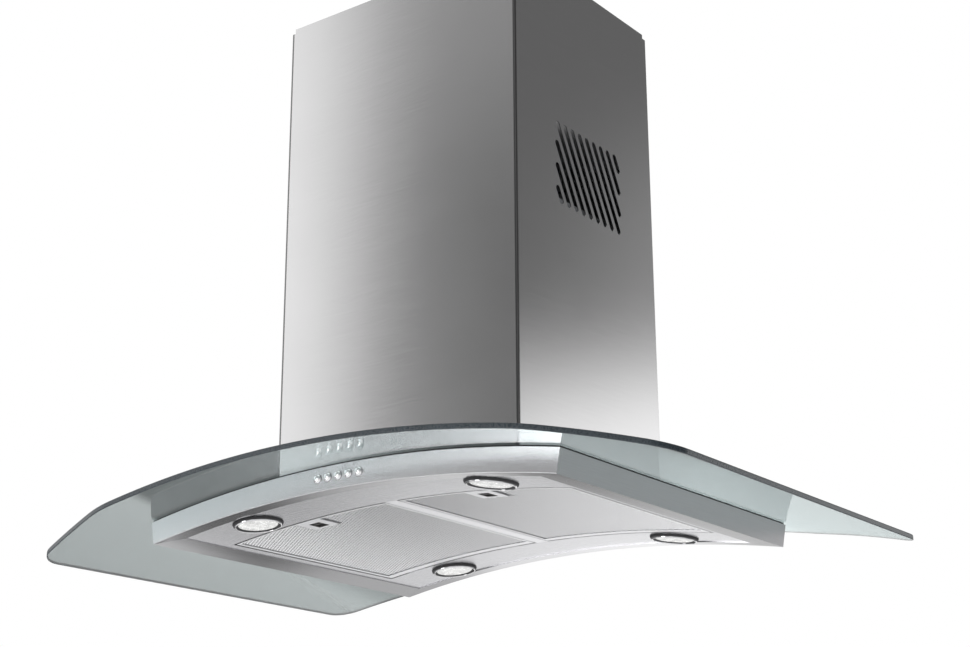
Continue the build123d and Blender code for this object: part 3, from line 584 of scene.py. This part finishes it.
for side, sign in (("left", -1), ("right", 1)):
    layers = []
    for k, (rr, a, b_, s, th, tw, sh) in enumerate(((R_P + 0.95, 4.0, 2.4, 0.68, 0.26, 0.15, 0.0), (R_P + 1.62, 2.3, 1.9, 0.64, 0.24, 0.14, 0.7))):
        layers.append(finish_mesh(f"{side}_filter_expanded_{k + 1}", expanded(side, sign, rr, a, b_, s, th, tw, sh), M["filter_mesh_inner" if k else "filter_mesh"], 20.0, weighted=False))
    # inner sheet that closes the pack, with shallow waves
    bm = bmesh.new()
    nx, ny = 72, 46
    grid = [[[bm.verts.new(on_bend(sign * (FX0 + (FX1 - FX0) * i / nx), FYA + (FYB - FYA) * j / ny,
                                   R_P + 2.45 + 0.45 * lvl + 0.16 * math.sin(i * 6.1) * math.cos(j * 7.6)))
              for j in range(ny + 1)] for i in range(nx + 1)] for lvl in (0, 1)]
    for i in range(nx):
        for j in range(ny):
            x, y = FX0 + (FX1 - FX0) * (i + 0.5) / nx, FYA + (FYB - FYA) * (j + 0.5) / ny
            if abs(x - LATCH_AT[side]) < 20 and y < LATCH_Y + 19:
                continue
            for g in grid:
                bm.faces.new((g[i][j], g[i + 1][j], g[i + 1][j + 1], g[i][j + 1]))
    twin = {grid[0][i][j]: grid[1][i][j] for i in range(nx + 1) for j in range(ny + 1)}
    for e in [e for e in bm.edges if len(e.link_faces) == 1]:
        v0, v1 = e.verts
        if v0 in twin and v1 in twin:
            bm.faces.new((v0, v1, twin[v1], twin[v0]))
    bmesh.ops.delete(bm, geom=[v for v in bm.verts if not v.link_faces], context="VERTS")
    layers.append(finish_mesh(f"{side}_filter_inner_sheet", bm, M["filter_back"], 40.0, weighted=False))
    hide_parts(f"{side}_filter_mesh")
    for ob in layers:
        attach(ob, f"{side}_filter")
    # black plastic liner in the latch pocket, open downwards and where the tongue passes: partly the latch's own black
    # plastic, partly a dark piece that paints the shade inside the pocket
    m4 = at_bend(sign * LATCH_AT[side], 0, R_P)
    bm = bmesh.new()
    y0, y1, top, w = LATCH_Y - 8.9, LATCH_Y + 10.9, 5.5, 0.45
    for bx in (((-7.9, -7.9 + w), (y0, y1), (0.15, top)), ((7.9 - w, 7.9), (y0, y1), (0.15, top)),
               ((-7.9 + w, 7.9 - w), (y1 - w, y1), (0.15, top)), ((-7.9 + w, 7.9 - w), (y0, y1 - w), (top - w, top))):
        res = bmesh.ops.create_cube(bm, size=1.0)
        for v in res["verts"]:
            c = [bx[i][0] if v.co[i] < 0 else bx[i][1] for i in range(3)]
            v.co = m4 @ (Vector(c) / 1000.0)
    shade_liner = finish_mesh(f"{side}_latch_pocket_shade_liner", bm, M["black_plastic"], 30.0, weighted=False)
    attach(shade_liner, f"{side}_filter")

# ------------------------------------------------------------------ lamps
for name, (x, y) in LAMPS.items():
    m4 = at_bend(x, y, R_P) @ Matrix.Translation((0, 0, -0.00032))
    rim = smooth_path([(25.7, -3.0), (25.9, -3.9), (26.3, -4.35), (26.9, -4.45), (27.5, -4.2), (27.95, -3.6)], 5)
    rim += [(28.2, -2.6), (28.2, 0.0), (26.7, 0.0), (26.7, 7.0), (24.8, 7.0), (24.8, -0.6), (25.7, -1.2)]
    ring = finish_mesh(f"lamp_bezel_{name}", lathe(rim, 96, m4), M["chrome"], 40.0)
    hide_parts(f"lamp_ring_{name}")
    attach(ring, "hood_unit")
    # black rings outside and inside the chrome bezel: dark pieces that paint the dark reflection of the chrome and the
    # shade in the gap round the lens
    painted_dark_skirt = [(28.25, 0.0), (28.25, -2.6)] + smooth_path([(28.5, -2.78), (28.95, -2.62), (29.5, -1.9), (29.88, -0.8), (30.0, 0.0)], 4)
    painted_dark_groove = [(25.65, -1.3), (24.75, -0.7), (23.75, -0.7)] + smooth_path([(23.75, -2.4), (24.2, -2.75), (24.9, -3.0), (25.65, -3.5)], 4)
    for part, profile in (("painted_dark_skirt", painted_dark_skirt), ("painted_dark_groove", painted_dark_groove)):
        gasket = finish_mesh(f"lamp_{part}_{name}", lathe(profile, 96, m4), M["rubber"], 40.0)
        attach(gasket, "hood_unit")
    m4 = at_bend(x, y, R_P)
    dome = smooth_path([(0.0, -3.9), (8.0, -3.8), (15.0, -3.5), (20.0, -3.1), (22.6, -2.75)], 5)
    lens_profile = dome + [(23.4, -2.4), (23.4, 5.2), (21.4, 5.2), (21.4, -0.4)] + smooth_path([(20.0, -0.7), (10.0, -1.4), (0.0, -1.6)], 4)
    ripple = lambda r, t: (0.22 * math.cos(36 * t) * min(1.0, r / 12.0) * (1 if r < 22 else 0))
    lens = finish_mesh(f"lamp_glass_{name}", lathe(lens_profile, 144, m4, ripple), M["lens"], 40.0)
    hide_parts(f"lamp_lens_{name}")
    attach(lens, "hood_unit")

# ------------------------------------------------------------------ push buttons
for k in range(5):
    x = (k - 2) * 15.0
    base = Matrix.Translation(pt(x, -240.0, -14.7)) @ Euler((math.radians(90), 0, 0)).to_matrix().to_4x4()
    cap = smooth_path([(0.0, 3.6), (1.5, 3.56), (2.9, 3.34), (3.9, 2.86), (4.7, 2.05), (5.15, 1.2), (5.3, 0.4)], 5)
    profile = cap + [(5.3, -1.4), (6.1, -1.4), (6.1, -2.4), (2.5, -2.4), (2.5, -14.0), (0.0, -14.0)]
    b_ob = finish_mesh(f"push_button_{k + 1}", lathe(profile, 64, base), M["button"], 40.0)
    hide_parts(f"button_{k + 1}")
    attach(b_ob, f"button_{k + 1}_body")

# ------------------------------------------------------------------ stage
FLOOR_Z = -2.25
me = bpy.data.meshes.new("floor")
bm = bmesh.new()
bmesh.ops.create_circle(bm, cap_ends=True, segments=96, radius=9.0)
bm.to_mesh(me)
bm.free()
floor = bpy.data.objects.new("floor", me)
bpy.context.scene.collection.objects.link(floor)
floor.location = (0, 0, FLOOR_Z)
m, nt, b, out = new_mat("pale_floor")
co = object_coords(nt)
cloud = noise(nt, co, 1.4, (1, 1, 1), 4.0)
nt.links.new(mix_color(nt, cloud, (0.80, 0.80, 0.80), (0.84, 0.84, 0.84)), b.inputs["Base Color"])
b.inputs["Roughness"].default_value = 0.85
b.inputs["Emission Color"].default_value = (1, 1, 1, 1)
b.inputs["Emission Strength"].default_value = 0.62
length = nt.nodes.new("ShaderNodeVectorMath")
length.operation = "LENGTH"
nt.links.new(co, length.inputs[0])
fade = nt.nodes.new("ShaderNodeMapRange")
fade.interpolation_type = "SMOOTHSTEP"
fade.inputs["From Min"].default_value = 3.3
fade.inputs["From Max"].default_value = 3.5
nt.links.new(length.outputs["Value"], fade.inputs["Value"])
clear = nt.nodes.new("ShaderNodeBsdfTransparent")
mixs = nt.nodes.new("ShaderNodeMixShader")
nt.links.new(fade.outputs["Result"], mixs.inputs[0])
nt.links.new(b.outputs[0], mixs.inputs[1])
nt.links.new(clear.outputs[0], mixs.inputs[2])
nt.links.new(mixs.outputs[0], out.inputs[0])
me.materials.append(m)

# ------------------------------------------------------------------ studio light
world = bpy.data.worlds.new("studio")
bpy.context.scene.world = world
world.use_nodes = True
nt = world.node_tree
nt.nodes.clear()
wout = nt.nodes.new("ShaderNodeOutputWorld")
direction = nt.nodes.new("ShaderNodeTexCoord").outputs["Generated"]
sep = nt.nodes.new("ShaderNodeSeparateXYZ")
nt.links.new(direction, sep.inputs[0])
elev = math_node(nt, "MULTIPLY", math_node(nt, "ARCSINE", sep.outputs[2]), 180 / math.pi)


def smooth(value, lo, hi):
    n = nt.nodes.new("ShaderNodeMapRange")
    n.interpolation_type = "SMOOTHSTEP"
    n.inputs["From Min"].default_value = lo
    n.inputs["From Max"].default_value = hi
    nt.links.new(value, n.inputs["Value"])
    return n.outputs["Result"]


def soft_box(az0, az1, soft0, soft1, el0, el1, soft_lo, soft_hi, strength):
    """Glow between two compass angles (0 = +Y, 90 = +X, degrees) and two elevations, each edge with its own softness."""
    mid = math.radians((az0 + az1) / 2)
    cx, cy = math.sin(mid), math.cos(mid)
    along = math_node(nt, "ADD", math_node(nt, "MULTIPLY", sep.outputs[0], cx), math_node(nt, "MULTIPLY", sep.outputs[1], cy))
    across = math_node(nt, "ADD", math_node(nt, "MULTIPLY", sep.outputs[0], cy), math_node(nt, "MULTIPLY", sep.outputs[1], -cx))
    az = math_node(nt, "MULTIPLY", math_node(nt, "ARCTAN2", across, along), 180 / math.pi)
    half = (az1 - az0) / 2
    m_a = smooth(az, -half - soft0, -half)
    m_b = math_node(nt, "SUBTRACT", 1.0, smooth(az, half, half + soft1))
    m_lo = smooth(elev, el0 - soft_lo, el0)
    m_hi = math_node(nt, "SUBTRACT", 1.0, smooth(elev, el1, el1 + soft_hi))
    m_az, m_el = math_node(nt, "MULTIPLY", m_a, m_b), math_node(nt, "MULTIPLY", m_lo, m_hi)
    return math_node(nt, "MULTIPLY", math_node(nt, "MULTIPLY", m_az, m_el), strength)


terms = [
    soft_box(-137.0, -95, 3.0, 15, 3, 21, 8, 26, 1.3),        # key from the front left
    soft_box(-150, -132, 8, 8, 30, 40, 8, 20, 0.21),
    soft_box(-158, -143.4, 7, 2.5, -12, 3.5, 10, 6, 4.6),       # low box in front
    soft_box(18, 33.0, 12, 12, 7, 14.0, 8, 5.0, 1.35),         # strip behind on the right
    soft_box(14, 29, 8, 6, 17, 21, 5, 6, 0.25),
    soft_box(95, 165, 25, 20, -35, -3, 10, 10, 0.55),          # fill from the front right
    soft_box(14, 60, 10, 20, -30, -2, 10, 8, 0.20),
    soft_box(167, 196, 20, 10, -16, 26, 10, 15, 0.48),         # fill from straight in front
    soft_box(-31, -8, 7, 12, -12, 18, 8, 12, 0.38),            # wall behind, bright only in its middle
    soft_box(-29, -8, 5, 12, 9, 16, 6, 10, 0.75),
    soft_box(-38, -10, 8, 12, -14, -7, 5, 6, 0.86),
    soft_box(-37, -12, 3, 10, -26, -17, 4, 4, 0.50),
    soft_box(-46, -12, 4, 10, -36, -28, 4, 3, 0.75),
    math_node(nt, "MULTIPLY", smooth(elev, 50, 75), 0.9),      # overhead
]
base = math_node(nt, "ADD", 0.18, math_node(nt, "MULTIPLY", smooth(elev, 30, 60), 0.2))
total = base
for t_ in terms:
    total = math_node(nt, "ADD", total, t_)
studio = nt.nodes.new("ShaderNodeBackground")
nt.links.new(total, studio.inputs["Strength"])
studio.inputs["Color"].default_value = (1.0, 1.0, 1.0, 1)
white = nt.nodes.new("ShaderNodeBackground")
white.inputs["Color"].default_value = (1, 1, 1, 1)
white.inputs["Strength"].default_value = 1.0
lp = nt.nodes.new("ShaderNodeLightPath")
mix = nt.nodes.new("ShaderNodeMixShader")
nt.links.new(lp.outputs["Is Camera Ray"], mix.inputs[0])
nt.links.new(studio.outputs[0], mix.inputs[1])
nt.links.new(white.outputs[0], mix.inputs[2])
nt.links.new(mix.outputs[0], wout.inputs[0])

sc = bpy.context.scene
sc.view_settings.view_transform = "Standard"
sc.view_settings.look = "None"
sc.view_settings.exposure = 0.0
sc.view_settings.gamma = 1.0

# ------------------------------------------------------------------ camera
YAW, PITCH, ROLL = 0.643902, 0.321993, -0.004483
cam = bpy.data.cameras.new("camera")
cam.lens = 64.718
cam.sensor_width = 36.0
cam_ob = bpy.data.objects.new("camera", cam)
sc.collection.objects.link(cam_ob)
fwd = Vector((-math.sin(YAW) * math.cos(PITCH), math.cos(YAW) * math.cos(PITCH), math.sin(PITCH)))
right = Vector((math.cos(YAW), math.sin(YAW), 0))
up = right.cross(fwd)
r2 = math.cos(ROLL) * right + math.sin(ROLL) * up
u2 = -math.sin(ROLL) * right + math.cos(ROLL) * up
rot = Matrix((r2, u2, -fwd)).transposed().to_4x4()
cam_ob.matrix_world = Matrix.Translation((1.254165, -1.640299, -1.094220)) @ rot
cam.clip_start, cam.clip_end = 0.05, 100.0
sc.camera = cam_ob
